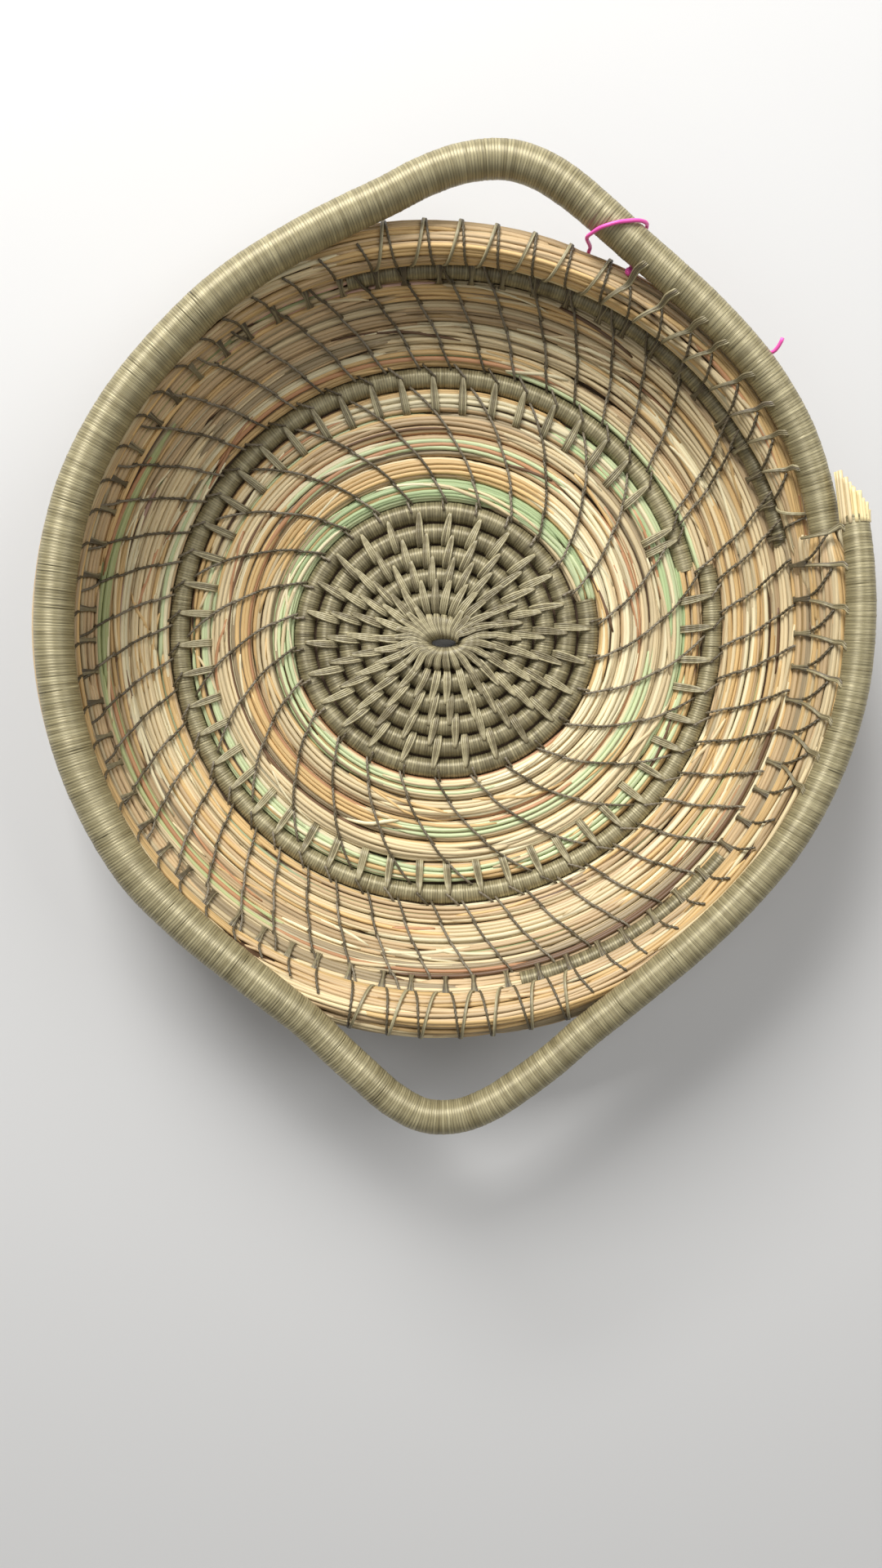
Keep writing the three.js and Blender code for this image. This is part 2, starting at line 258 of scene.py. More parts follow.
def wrapped_bundle(name, path, radius, spread, pitch, sides, seed, node, colours):
    """A bundle wrapped in thread: one thread's width of it is modelled, repeated and bent. Its end
    rings are the grooves between wraps, and the two between them the edges of a flat crest."""
    draw = np.random.default_rng(seed)
    wraps = int(path["run"][-1] / pitch)
    bpy.ops.object.select_all(action="DESELECT")
    bpy.ops.mesh.primitive_cylinder_add(
        vertices=sides, radius=1, depth=1, end_fill_type="NOTHING",
        location=(0.5, 0, 0), rotation=(0, pi / 2, 0),
    )
    piece = bpy.context.object
    piece.name = name
    bpy.ops.object.transform_apply(location=True, rotation=True, scale=True)
    bpy.ops.object.mode_set(mode="EDIT")
    bpy.ops.mesh.select_mode(type="EDGE")
    bpy.ops.mesh.select_all(action="DESELECT")
    bpy.ops.object.mode_set(mode="OBJECT")
    for edge in piece.data.edges:
        ends = [piece.data.vertices[v].co.x for v in edge.vertices]
        edge.select = abs(ends[0] - ends[1]) > 0.5
    bpy.ops.object.mode_set(mode="EDIT")
    bpy.ops.mesh.subdivide(number_cuts=2)
    bpy.ops.object.mode_set(mode="OBJECT")
    copies = piece.modifiers.new("wraps", "ARRAY")
    copies.count = wraps
    copies.use_merge_vertices = True
    copies.merge_threshold = 0.01
    bpy.ops.object.modifier_apply(modifier=copies.name)
    bpy.ops.object.mode_set(mode="EDIT")
    bpy.ops.mesh.select_all(action="DESELECT")
    bpy.ops.mesh.select_non_manifold()
    bpy.ops.mesh.fill_holes(sides=0)
    bpy.ops.object.mode_set(mode="OBJECT")

    straight = vertices_of(piece.data)
    around = np.arctan2(straight[:, 2], straight[:, 1])
    wrap = np.clip(np.floor(straight[:, 0] + 0.05).astype(int), 0, wraps - 1)
    crest = np.abs(straight[:, 0] - np.round(straight[:, 0])) > 0.1
    flat = (straight[:, 0] - wrap - 0.5) * (3 * wrap_flat - 1)
    swing = draw.normal(0, wrap_swing, wraps)[wrap]
    swing = swing * np.cos(around + draw.uniform(0, tau, wraps)[wrap])
    run = (straight[:, 0] + (flat + swing) * crest) * path["run"][-1] / wraps
    sunk = np.where(crest, draw.uniform(0, wrap_uneven, wraps)[wrap], wrap_groove)
    reach = (radius(run) if callable(radius) else radius) - sunk
    centre, side, lift = on_path(path, run)
    # Below its middle a row is wider, so that it meets its neighbours.
    wider = 1 + (spread - 1) * np.clip(0.5 - 1.5 * np.sin(around), 0, 1)
    out, up = reach * wider * np.cos(around), reach * np.sin(around)
    bent = centre + side * out[:, None] + lift * up[:, None]
    bent[:, 2] = np.maximum(bent[:, 2], 0)
    piece.data.vertices.foreach_set("co", bent.ravel())
    piece.data.update()
    shares = np.clip(draw.normal(0.5, wrap_shade_spread, wraps), 0, 1)[wrap]
    dark, light = paint(*colours[0]), paint(*colours[1])
    stains = dark + (light - dark) * shares[:, None]
    # Painted shade: the groove rings between wraps are coloured darker than the crests.
    stains *= np.where(crest, 1, groove_painted_shade)[:, None]
    dye(piece.data, stains, np.stack([straight[:, 0], around, wrap], -1) * wrap_grain)
    lay = piece.data.attributes.new("lay", "FLOAT_VECTOR", "POINT")
    lay.data.foreach_set("vector", np.cross(lift, side).ravel())
    bpy.ops.object.shade_smooth()
    piece.data.materials.clear()
    piece.data.materials.append(wrapping)
    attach(piece, "root")
    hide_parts(node)


wrapping = fibre_material(
    "wrapping thread", 0.5, (0.78, 1.16), 0.00003, twist=(3.14, 0.8, 0), satin=True
)


def centre_radius(run):
    """The bundle is thinner at the eye and full after its first turn."""
    return centre_wrap_radius * np.interp(run, [0, start_run], [start_share, 1])


wrapped_bundle(
    "centre_wrapping", coil_path(0, centre_end), centre_radius, row_spread, centre_wrap_pitch,
    sides=20, seed=11, node="centre_coil", colours=wrap_shades,
)


# Floor of the coil
# Five rows of bare pine needles, five or six across a row, laid in small lots that lap over one
# another so that the bundle never ends. Green, straw and rust lots come as they were picked.
needle_width = 0.00132
needle_sides = 6
needle_step = 0.0038
needle_radii = (0.42, 0.56)
needle_depths = (0.93, 1.03)
needle_shades = (0.84, 1.1)
shortest_needle = 0.012
end_drop = 0.3
end_taper = 0.7
lot_lengths = (0.06, 0.12)
lot_laps = (0.86, 0.97)
lot_drift, needle_drift = 0.3, 0.12
start_spread, end_spread = 0.006, 0.012
place_spread, waver_spread = 0.12, 0.09
lot_needles = 3
outer_lots = 5
inner_needles = 8
inner_depth = 0.74
odd_share = 0.13
dark_tip_share, dark_tip_start = 0.12, 0.94
stray_lengths = (0.012, 0.035)
stray_radii = (0.25, 0.45)
stray_points = 9
stray_margin = 0.001
stray_place, stray_turn = 0.9, 0.5
stray_height, stray_lift = 1.12, 0.06
strand_grain = (60, 1.6, 3.7)
core_radius = 0.0016
core_margin = 0.0005
core_step = 0.006
# Share of the bark colour left on the core strand, as painted shade.
core_painted_shade = 0.6
squareness = 0.75
bundle_half_width = 0.00245
bundle_half_height = 0.0019
tucked = 0.01
pick_shades = (0.88, 1.08)
straw = (214, 194, 152)
cream = (226, 213, 174)
tan = (194, 167, 126)
honey = (208, 174, 118)
rust = (184, 136, 96)
rose = (202, 164, 142)
leaf = (170, 187, 136)
pale_leaf = (196, 206, 158)
dun = (160, 142, 110)
bark = (108, 80, 54)
odd_needles = [(rust, 3), (honey, 4), (rose, 1), (bark, 1), (dun, 2), (cream, 2)]
stray_colours = [(straw, 3), (honey, 2), (cream, 2), (rust, 1), (bark, 1)]


def strand_piece(name, strands, sides, material, nodes=()):
    """One mesh of many closed strands, each a row of points with a width and a colour."""
    places, faces, stains, grains = [], [], [], []
    angles = tau * np.arange(sides) / sides
    first = 0
    for number, (points, across, radii, colour) in enumerate(strands):
        along = unit(np.gradient(points, axis=0))
        across = unit(across - along * np.sum(across * along, -1, keepdims=True))
        over = np.cross(along, across)
        radii = np.broadcast_to(radii, len(points))
        ring = across[:, None] * np.cos(angles)[None, :, None]
        ring = ring + over[:, None] * np.sin(angles)[None, :, None]
        places.append((points[:, None] + ring * radii[:, None, None]).reshape(-1, 3))
        count = len(points)
        here = first + np.arange(count * sides).reshape(count, sides)
        after = np.roll(here, -1, axis=1)
        quads = np.stack([here[:-1], after[:-1], after[1:], here[1:]], -1).reshape(-1, 4)
        faces.extend(quads.tolist())
        faces.append(here[0][::-1].tolist())
        faces.append(here[-1].tolist())
        stains.append(np.repeat(np.broadcast_to(colour, (count, 3)), sides, axis=0))
        run = np.concatenate([[0], np.cumsum(np.linalg.norm(np.diff(points, axis=0), axis=1))])
        grain = np.stack(np.broadcast_arrays(run[:, None], angles[None], float(number)), -1)
        grains.append(grain.reshape(-1, 3) * strand_grain)
        first += count * sides
    places = np.concatenate(places)
    places[:, 2] = np.maximum(places[:, 2], 0)
    mesh = bpy.data.meshes.new(name)
    mesh.from_pydata(places.tolist(), [], faces)
    mesh.update()
    dye(mesh, np.concatenate(stains), np.concatenate(grains))
    mesh.shade_smooth()
    mesh.materials.append(material)
    piece = bpy.data.objects.new(name, mesh)
    bpy.context.collection.objects.link(piece)
    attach(piece, "root")
    if nodes:
        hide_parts(*nodes)


def rounded(share):
    """Sine or cosine of a section that is squarer than a circle."""
    return np.sign(share) * np.abs(share) ** squareness


def pick(draw, choices):
    """One colour of several with their weights, a little lighter or darker."""
    colours, weights = zip(*choices)
    chosen = colours[draw.choice(len(colours), p=np.array(weights) / sum(weights))]
    return paint(*chosen) * draw.uniform(*pick_shades)


def lay_needles(path, half_width, half_height, lots, per_lot, depth, seed, mix, odd=odd_share):
    """Lots of needles laid end over end round a bundle. Depth is a share of its section, and a
    drift or a waver turns a needle round it by radians."""
    draw = np.random.default_rng(seed)
    total = path["run"][-1]
    around = lots * per_lot
    strands = []
    for lot in range(lots):
        start = -draw.uniform(0, lot_lengths[1])
        while start < total:
            length = draw.uniform(*lot_lengths)
            shade = mix(draw, np.interp(start + length / 2, path["run"], path["turn"]))
            drift = draw.normal(0, lot_drift)
            for needle in range(per_lot):
                begin = max(0, start + draw.uniform(-start_spread, start_spread))
                end = min(total, start + length + draw.uniform(-end_spread, end_spread))
                if end - begin < shortest_needle:
                    continue
                run = np.linspace(begin, end, max(6, int((end - begin) / needle_step)))
                share = (run - begin) / (end - begin)
                place = lot * per_lot + needle + draw.normal(0, place_spread)
                waver = draw.normal(0, waver_spread)
                waver = waver * np.sin(tau * (share * draw.uniform(0.6, 1.4) + draw.random()))
                aslant = (drift + draw.normal(0, needle_drift)) * (share - 0.5)
                angle = tau * place / around + waver + aslant
                from_middle = np.abs(2 * share - 1)
                sunk = depth * draw.uniform(*needle_depths) - end_drop * from_middle**10
                wide = half_width(run) if callable(half_width) else half_width
                tall = half_height(run) if callable(half_height) else half_height
                centre, side, lift = on_path(path, run)
                out = wide * rounded(np.cos(angle)) * sunk
                up = tall * rounded(np.sin(angle)) * sunk
                points = centre + side * out[:, None] + lift * up[:, None]
                radii = needle_width * draw.uniform(*needle_radii) * (1 - end_taper * from_middle**14)
                colour = shade * draw.uniform(*needle_shades)
                if draw.random() < odd:
                    colour = pick(draw, odd_needles)
                # Painted shade: needles of an inner layer are darker, the deeper they lie.
                colour = colour * depth**1.5
                if draw.random() < dark_tip_share:
                    colour = np.where(share[:, None] > dark_tip_start, paint(*bark), colour)
                strands.append((points, side, radii, colour))
            start += length * draw.uniform(*lot_laps)
    return strands


def stray_needles(path, half_width, half_height, count, seed):
    """Needles that lie loose over the others, at a slight angle, with their ends lifted."""
    draw = np.random.default_rng(seed)
    strands = []
    for stray in range(count):
        length = draw.uniform(*stray_lengths)
        begin = draw.uniform(stray_margin, path["run"][-1] - length - stray_margin)
        run = np.linspace(begin, begin + length, stray_points)
        share = np.linspace(-1, 1, stray_points)
        angle = pi / 2 + draw.uniform(-stray_place, stray_place) + draw.normal(0, stray_turn) * share
        centre, side, lift = on_path(path, run)
        raised = stray_height + stray_lift * share**4
        out = half_width * rounded(np.cos(angle)) * raised
        up = half_height * rounded(np.sin(angle)) * raised
        points = centre + side * out[:, None] + lift * up[:, None]
        radii = needle_width * draw.uniform(*stray_radii) * (1 - 0.5 * share**6)
        strands.append((points, side, radii, pick(draw, stray_colours)))
    return strands


def core_strand(path, thickness):
    """The needles deep inside a bundle, as one strand that fills it. Its darkened bark colour is
    painted shade.
    """
    length = path["run"][-1]
    run = np.linspace(core_margin, length - core_margin, int(length / core_step))
    centre, side, lift = on_path(path, run)
    radii = thickness(run) if callable(thickness) else thickness
    return centre, side, radii, paint(*bark) * core_painted_shade


def bare_bundle(path, seed, mix, strays=0):
    """A bundle of bare needles: its core, an outer and an inner layer, and a few stray needles."""
    section = bundle_half_width, bundle_half_height
    return (
        [core_strand(path, core_radius)]
        + lay_needles(path, *section, outer_lots, lot_needles, 1, seed, mix)
        + lay_needles(path, *section, inner_needles, 1, inner_depth, seed + 1, mix)
        + stray_needles(path, *section, strays, seed + 2)
    )


def floor_mix(draw, turn):
    if turn < centre_end + 0.4:
        return pick(draw, [(leaf, 3), (pale_leaf, 5), (straw, 2), (tan, 1)])
    if turn < centre_end + 0.9:
        return pick(draw, [(leaf, 1), (pale_leaf, 4), (straw, 4), (cream, 1), (tan, 2)])
    if turn > floor_end - 1:
        return pick(draw, [(pale_leaf, 4), (straw, 3), (cream, 2), (leaf, 1), (tan, 1), (honey, 1)])
    return pick(draw, [(straw, 6), (tan, 4), (honey, 1), (cream, 3), (pale_leaf, 2), (dun, 1)])


needles = fibre_material("dry needles", 0.5, (0.78, 1.12), 0.0001)
floor_path = coil_path(centre_end - tucked, floor_end + tucked)
strand_piece(
    "floor_needles", bare_bundle(floor_path, 21, floor_mix, 60), needle_sides, needles,
    ["floor_coil"],
)


# Fill between the rows
# Deep between the rows, the thread that passes under them and loose needle ends close the gaps.
# One strand stands for them, and its near-black colour is painted shade of the crevices. It runs
# between each row and the row outside it.
fill_radius = 0.0011
fill_depth = 0.0011
fill_painted_shade = 0.4
fill_margin = 0.02
fill_steps = 2400

fill_turns = np.linspace(fill_margin, rim_start - 1 - fill_margin, fill_steps)
inner_row, inner_lift = coil_place(fill_turns)
outer_row, outer_lift = coil_place(fill_turns + 1)
fill_line = (inner_row + outer_row) / 2 - unit(inner_lift + outer_lift) * fill_depth
# The strand's colour is the bark colour darkened as painted shade.
strand_piece(
    "row_fill", [(fill_line, unit(outer_row - inner_row), fill_radius, paint(*bark) * fill_painted_shade)],
    needle_sides, fibre_material("fill in shade", 0.8, (0.8, 1.1), 0.00004),
)


# Wrapped row at the edge of the floor
# The same bundle, wrapped for one turn before the wall starts, in the same thread painted lighter
# as painted light. Short stitches that fan out, made with the spokes, tie it to the last row of the
# floor.
band_wrap_radius = 0.0027
# The centre's olive thread painted lighter, as painted light on this band and on the handle.
painted_light_wrap_shades = (130, 120, 88), (164, 154, 119)

wrapped_bundle(
    "floor_edge_wrapping", coil_path(floor_end, floor_band_end), band_wrap_radius, row_spread,
    centre_wrap_pitch, sides=16, seed=31, node="floor_band_coil", colours=painted_light_wrap_shades,
)


# Wall of the coil
# Four rows of bare needles, browner than the floor's, stacked up the bend of the bowl. They are
# laid in the same small lots, with as many needles across a row.
upper_wall = floor_band_end + 2
moss = (172, 178, 124)


def wall_mix(draw, turn):
    if turn > upper_wall:
        return pick(draw, [(straw, 6), (tan, 6), (honey, 3), (cream, 1), (dun, 2), (moss, 2)])
    return pick(
        draw, [(straw, 7), (tan, 5), (honey, 2), (cream, 2), (pale_leaf, 1), (moss, 1), (dun, 2)]
    )


wall_path = coil_path(floor_band_end - tucked, wall_end + tucked / 2)
strand_piece(
    "wall_needles", bare_bundle(wall_path, 41, wall_mix, 80), needle_sides, needles,
    ["wall_coil"],
)


# Wrapped start of the row under the rim
# The last row of the wall is wrapped for its first quarter, and again for a short way near the
# pointed handle, where the thread was joined.
wall_band_end = 16.25
join_start, join_end = 16.745, 16.853

wrapped_bundle(
    "wall_edge_wrapping", coil_path(wall_end, wall_band_end), band_wrap_radius, row_spread,
    centre_wrap_pitch, sides=14, seed=51, node="wall_band_coil", colours=wrap_shades,
)
wrapped_bundle(
    "join_wrapping", coil_path(join_start, join_end), band_wrap_radius, row_spread,
    centre_wrap_pitch, sides=14, seed=52, node="rim_coil", colours=wrap_shades,
)


# Bare needles of the row under the rim
# Between its wrapped parts the row runs on bare, and at its end it climbs into the rim. It is the
# wall's bundle of needles, with no loose ones on it.
bare_stretches = (
    ("under_rim_needles", wall_band_end, join_start, 53),
    ("rim_lead_needles", join_end, rim_start, 55),
)
for name, first, last, seed in bare_stretches:
    bare_path = coil_path(first - tucked / 2, last + tucked / 2)
    strand_piece(
        name, bare_bundle(bare_path, seed, wall_mix), needle_sides, needles,
        ["rim_coil"],
    )


# Rim of the coil
# One turn of a bundle twice as thick, of long golden needles, set a little outside the wall. It
# swells after its start, and gathers at its end to go into the wrapping of the handle.
rim_lots = 11
rim_inner_needles = 20
rim_inner_depth = 0.88
rim_odd_share = 0.03
rim_core_share = 0.86
rim_swell = 0.7
rim_bulge = 0.0005
rim_bulge_turns, rim_bulge_shares = (0.01, 0.04, 0.125, 0.15), (0, 1, 1, 0)
rim_gather_turns, rim_gather_shares = (-0.011, -0.001), (1, 0.62)


def rim_mix(draw, turn):
    return pick(draw, [(straw, 5), (tan, 5), (honey, 3), (cream, 1), (dun, 1)])


def bulge_at(turn):
    return rim_bulge * np.interp(turn - rim_start, rim_bulge_turns, rim_bulge_shares)


rim_path = coil_path(rim_start - tucked, rim_end + tucked * 0.8)
rim_away = rim_path["centre"] * (1, 1, 0) - (*bowl_axis, 0)
rim_path["centre"] += unit(rim_away) * bulge_at(rim_path["turn"])[:, None]


def rim_surface(run):
    turn = np.interp(run, rim_path["run"], rim_path["turn"])
    gathered = np.interp(turn - rim_end, rim_gather_turns, rim_gather_shares)
    return (bundle_radius(turn) - needle_width / 2 + bulge_at(turn) * rim_swell) * gathered


def rim_core(run):
    return rim_surface(run) * rim_core_share


rim_layers = (rim_lots, lot_needles, 1, 61), (rim_inner_needles, 1, rim_inner_depth, 62)
rim_strands = [core_strand(rim_path, rim_core)]
for layer in rim_layers:
    rim_strands += lay_needles(rim_path, rim_surface, rim_surface, *layer, rim_mix, rim_odd_share)
strand_piece("rim_needles", rim_strands, needle_sides, needles, ["rim_coil"])


# Wrapped handle bundle
# Past the rim the bundle is wrapped again. It rests on the rim for a whole turn and swings out
# into a round handle and a pointed one. Thickness and distance out are in millimetres by degrees.
handle_wrap_pitch = 0.00074
handle_gap = 0.0004
handle_lean = 0.5
handle_lead = 0.012
handle_step = 0.001
millimetre = 0.001
handle_thickness = [
    (15, 8), (30, 8.4), (60, 8.9), (75, 9.5), (115, 9.3), (150, 9.9), (220, 10.2), (268, 9),
    (330, 8.3), (345, 7.9), (365, 7.6), (378, 6.8),
]
handle_route = [
    (21, 5.5), (30, 6), (40, 6), (50, 6.2), (58, 7.3), (64, 9.2), (69, 12), (74, 15.3),
    (78, 17.5), (82, 18.2), (87, 16.4), (92, 12.9), (97, 8.9), (103, 5.8), (110, 3), (119, 0.8),
    (128, -0.9), (145, -2.1), (161, -2.3), (180, -2.8), (198, -2.5), (216, -1.8), (228, -1.9),
    (238, -0.9), (245, 1.4), (251, 5.2), (256, 10.3), (260, 15.1), (264, 20.6), (268, 24.4),
    (272, 24.5), (276, 21.8), (280, 17.7), (285, 12.8), (290, 8.3), (296, 4.9), (302, 2.4),
    (310, 1), (320, 0.8), (330, 1.6), (341, 2.4), (352, 3.2), (362, 3.6), (370, 4.4), (376, 5.9),
]


def handle_radius(angle):
    angles, sizes = zip(*handle_thickness)
    return np.interp(angle, angles, np.array(sizes) * millimetre / 2)


def handle_points():
    """The handle's route from the end of the rim on, as high as it lies when it rests on the rim."""
    change = change_angle * 360 / tau
    points = [coil_place(rim_end - handle_lead)[0], coil_place(rim_end)[0]]
    for angle, out in handle_route:
        turn = min(rim_start + (angle - change) / 360, rim_end)
        under = bundle_radius(turn) if turn < rim_end else handle_radius(change)
        seat = under + handle_radius(angle) + handle_gap
        lean = min(abs(out) * millimetre / seat, handle_lean)
        rim = coil_place(turn)[0]
        reach = np.hypot(rim[0] - bowl_axis[0], rim[1] - bowl_axis[1]) + out * millimetre
        x = bowl_axis[0] + reach * cos(radians(angle))
        y = bowl_axis[1] + reach * sin(radians(angle))
        points.append(np.array([x, y, rim[2] + seat * (1 - lean * lean) ** 0.5]))
    return np.array(points)


def smooth_run(points, step):
    """A smooth line through points, with a new point every step."""
    points = np.asarray(points, float)
    points = np.concatenate([[2 * points[0] - points[1]], points, [2 * points[-1] - points[-2]]])
    spans = np.linalg.norm(np.diff(points, axis=0), axis=1) ** 0.5
    line = []
    for index in range(1, len(points) - 2):
        before, start, end, after = points[index - 1:index + 3]
        lead, here, follow = spans[index - 1:index + 2]
        leave = (start - before) / lead - (end - before) / (lead + here) + (end - start) / here
        arrive = (end - start) / here - (after - start) / (here + follow) + (after - end) / follow
        count = max(1, round(np.linalg.norm(end - start) / step))
        share = (np.arange(count) / count)[:, None]
        passed = 3 * share**2 - 2 * share**3
        bend = (share**3 - 2 * share**2 + share) * leave + (share**3 - share**2) * arrive
        line.append((1 - passed) * start + passed * end + bend * here)
    line.append(points[-2][None])
    return np.concatenate(line)


handle_line = smooth_run(handle_points(), handle_step)
handle_line = handle_line[np.linalg.norm(handle_line - coil_place(rim_end)[0], axis=1).argmin():]
handle_path = path_along(handle_line, np.broadcast_to([0.0, 0.0, 1.0], handle_line.shape))
handle_turned = np.degrees(
    np.unwrap(np.arctan2(handle_line[:, 1] - bowl_axis[1], handle_line[:, 0] - bowl_axis[0]))
)


def handle_surface(run):
    return handle_radius(np.interp(run, handle_path["run"], handle_turned))


# The handle's thread takes the lighter copy of the olive thread's colours, as painted light.
wrapped_bundle(
    "handle_wrapping", handle_path, handle_surface, 1, handle_wrap_pitch,
    sides=24, seed=71, node="handle_coil", colours=painted_light_wrap_shades,
)


# Cut end of the needles
# The last of the bundle sticks out of the wrapping, cut off at a slant with the needles splayed.
# Most of its needles are paler than the rim's.
end_length = 0.0125
end_radius = 0.0035
end_hidden = 0.002
longest_share, slant_share = 0.64, 0.4
cut_spread = 0.0006
cut_points = 7
cut_radii = (0.44, 0.56)
held, splayed = 0.92, 0.1
needle_rings = ((0, 1), (0.34, 6), (0.68, 12), (0.96, 17))
fresh_cut = (234, 214, 160)


def cut_end():
    draw = np.random.default_rng(81)
    start = handle_path["centre"][-1]
    along = unit(handle_path["centre"][-1] - handle_path["centre"][-4])
    side, lift = handle_path["side"][-1], handle_path["lift"][-1]
    strands = []
    for ring, count in needle_rings:
        for place in range(count):
            angle = tau * place / count + draw.normal(0, 0.1)
            out = end_radius * ring * cos(angle)
            up = end_radius * ring * sin(angle)
            reach = end_length * (longest_share - slant_share * out / end_radius)
            reach += draw.normal(0, cut_spread)
            share = np.linspace(0, 1, cut_points)[:, None]
            splay = held * (1 + splayed * draw.random() * share**2)
            points = start + along * (share * reach - end_hidden) + (side * out + lift * up) * splay
            colour = pick(draw, [(fresh_cut, 6), (straw, 2), (honey, 1)])
            radii = needle_width * draw.uniform(*cut_radii)
            strands.append((points, np.broadcast_to(side, points.shape), radii, colour))
    return strands


strand_piece(
    "cut_needle_ends", cut_end(), needle_sides, needles, ["needle_end"]
)


# Stitch spokes
# Two-ply thread sewn over each row and through the row inside it. In the wrapped centre a stitch
# is several threads wide and narrows to its tip, and on bare rows it is a single thread. In the
# lists, out counts rows, up is metres over the coil's centreline, and widths are shares.
floor_spokes = 26
first_spoke_turn = 2
last_sewn_turn = rim_start - 0.3
centre_lean, floor_lean, wall_lean = 1.5, 4.4, 1.8
thread_sides = 5
ply_radius = 0.00027
ply_spread = 0.00017
ply_lay = 0.0027
stitch_step = 0.0007
stitch_beside = 0.00025
thread_height = 0.0030
stitch_out = np.array([-0.66, -0.45, -0.2, 0, 0.2, 0.45, 0.66])
stitch_up = thread_height * np.array([0.3, 0.86, 1, 1, 1, 0.86, 0.3])
back_face = -0.92
thread_apart = 0.00052
fan_radius = 0.00031
fan_tip = (0.00028, 0.00022, 0.00012)
petal_lengths = (0.96, 1.08)
petal_slant, petal_spread = 0.0008, 0.0003
petal_out = np.array([-0.55, -0.36, 0, 0.36, 0.62, 0.86, 0.98])
petal_up = np.array([0.001, 0.0024, 0.00318, 0.00275, 0.0027, 0.00305, 0.0023])
petal_widths = [0.75, 1, 1.05, 0.9, 0.7, 0.35, 0.15]
eye_centre = np.array([bowl_axis[0] + 0.0008, bowl_axis[1] - 0.0019, 0.0032])
eye_half = np.array([0.0036, 0.0013, 0])
eye_petal_widths = [0.3, 0.55, 0.9, 0.9, 0.6, 0.3]
slot_end = 0.45
root_depth = 0.0015
mouth_share, mouth_rise = 0.35, 0.0012
band_lean = 0.3
band_out = np.array([-0.6, -0.4, 0, 0.4, 0.75, 1.0, 1.12])
band_up = np.array([0.0012, 0.0027, 0.0030, 0.0027, 0.0031, 0.0031, 0.0023])
band_widths = [1, 1, 1, 0.9, 0.6, 0.3, 0.1]
thread_olive = (128, 118, 90)
thread_light = (166, 156, 122)
thread_grey = (118, 108, 89)
thread_dark = (90, 80, 60)
fan_shades = (thread_light, 3), (thread_olive, 2)


def over_rows(turn, out, up):
    """Points that lie a number of rows outside a turn of the coil, raised off its centreline."""
    turn, out, up = np.broadcast_arrays(np.asarray(turn, float), out, up)
    whole = np.floor(out)
    inner, inner_lift = coil_place(turn + whole)
    outer, outer_lift = coil_place(turn + whole + 1)
    share = (out - whole)[..., None]
    lift = unit(inner_lift + (outer_lift - inner_lift) * share)
    return inner + (outer - inner) * share + lift * up[..., None]


def along_coil(turn):
    step = 0.002
    return unit(coil_place(turn + step)[0] - coil_place(turn - step)[0])


def two_ply(line, across, colour, draw):
    """Two strands twisted round each other along a line."""
    along = unit(np.gradient(line, axis=0))
    across = unit(across - along * np.sum(across * along, -1, keepdims=True))
    over = np.cross(along, across)
    run = np.concatenate([[0], np.cumsum(np.linalg.norm(np.diff(line, axis=0), axis=1))])
    turned = tau * run / ply_lay + draw.uniform(0, tau)
    strands = []
    for half in (0, pi):
        ring = across * np.cos(turned + half)[:, None] + over * np.sin(turned + half)[:, None]
        strands.append((line + ring * ply_spread, across, ply_radius, colour))
    return strands


def row_stitch(turn, lean, beside, draw, from_crown=False, face=1):
    """One thread over one row, from the gap inside it, or from its crown, to the gap outside it."""
    kept = stitch_out >= (0 if from_crown else -1)
    out, up = stitch_out[kept], stitch_up[kept] * face
    turns = turn + lean * out / 360 + beside * (1 + out) / (tau * row_section(turn)[0])
    line = smooth_run(over_rows(turns, out, up), stitch_step)
    across = np.broadcast_to(along_coil(turn), line.shape)
    colour = pick(draw, [(thread_grey, 3), (thread_dark, 2)])
    return two_ply(line, across, colour, draw)


def fan(points, across, spread, widths, draw, count=4, shades=fan_shades):
    """Threads side by side, which keep a share of their spread at each point of their way."""
    strands = []
    for place in range(count):
        beside = (place - (count - 1) / 2) * spread
        line = smooth_run(points + across * (beside * np.array(widths))[:, None], stitch_step)
        radii = np.full(len(line), fan_radius)
        radii[-3:] = fan_tip
        strands.append((line, np.broadcast_to(across, line.shape), radii, pick(draw, shades)))
    return strands


def petal(turn, draw):
    """A wide stitch over one wrapped row that narrows to a point on the next."""
    out = petal_out * draw.uniform(*petal_lengths)
    aslant = draw.normal(0, petal_spread) - petal_slant * out
    points = over_rows(turn + aslant / (tau * row_section(turn)[0]), out, petal_up)
    return fan(points, along_coil(turn), thread_apart, petal_widths, draw)


def eye_petal(turn, draw):
    """A stitch out of the eye over the innermost row, which narrows to a point on the next."""
    angle = change_angle + tau * turn
    root = eye_centre + eye_half * np.array([cos(angle), sin(angle), 0])
    if abs(cos(angle)) > slot_end:
        inner = over_rows(turn, [0, 0.45, 0.8, 1], [0.0030, 0.0029, 0.0031, 0.0026])
    else:
        inner = over_rows(turn, [0, 0.3, 0.46, 0.55], [0.0030, 0.0026, 0.001, -0.001])
    mouth = root + (inner[0] - root) * mouth_share + np.array([0, 0, mouth_rise])
    points = np.concatenate([[root - np.array([0, 0, root_depth])], [mouth], inner])
    return fan(points, along_coil(turn), thread_apart, eye_petal_widths, draw)


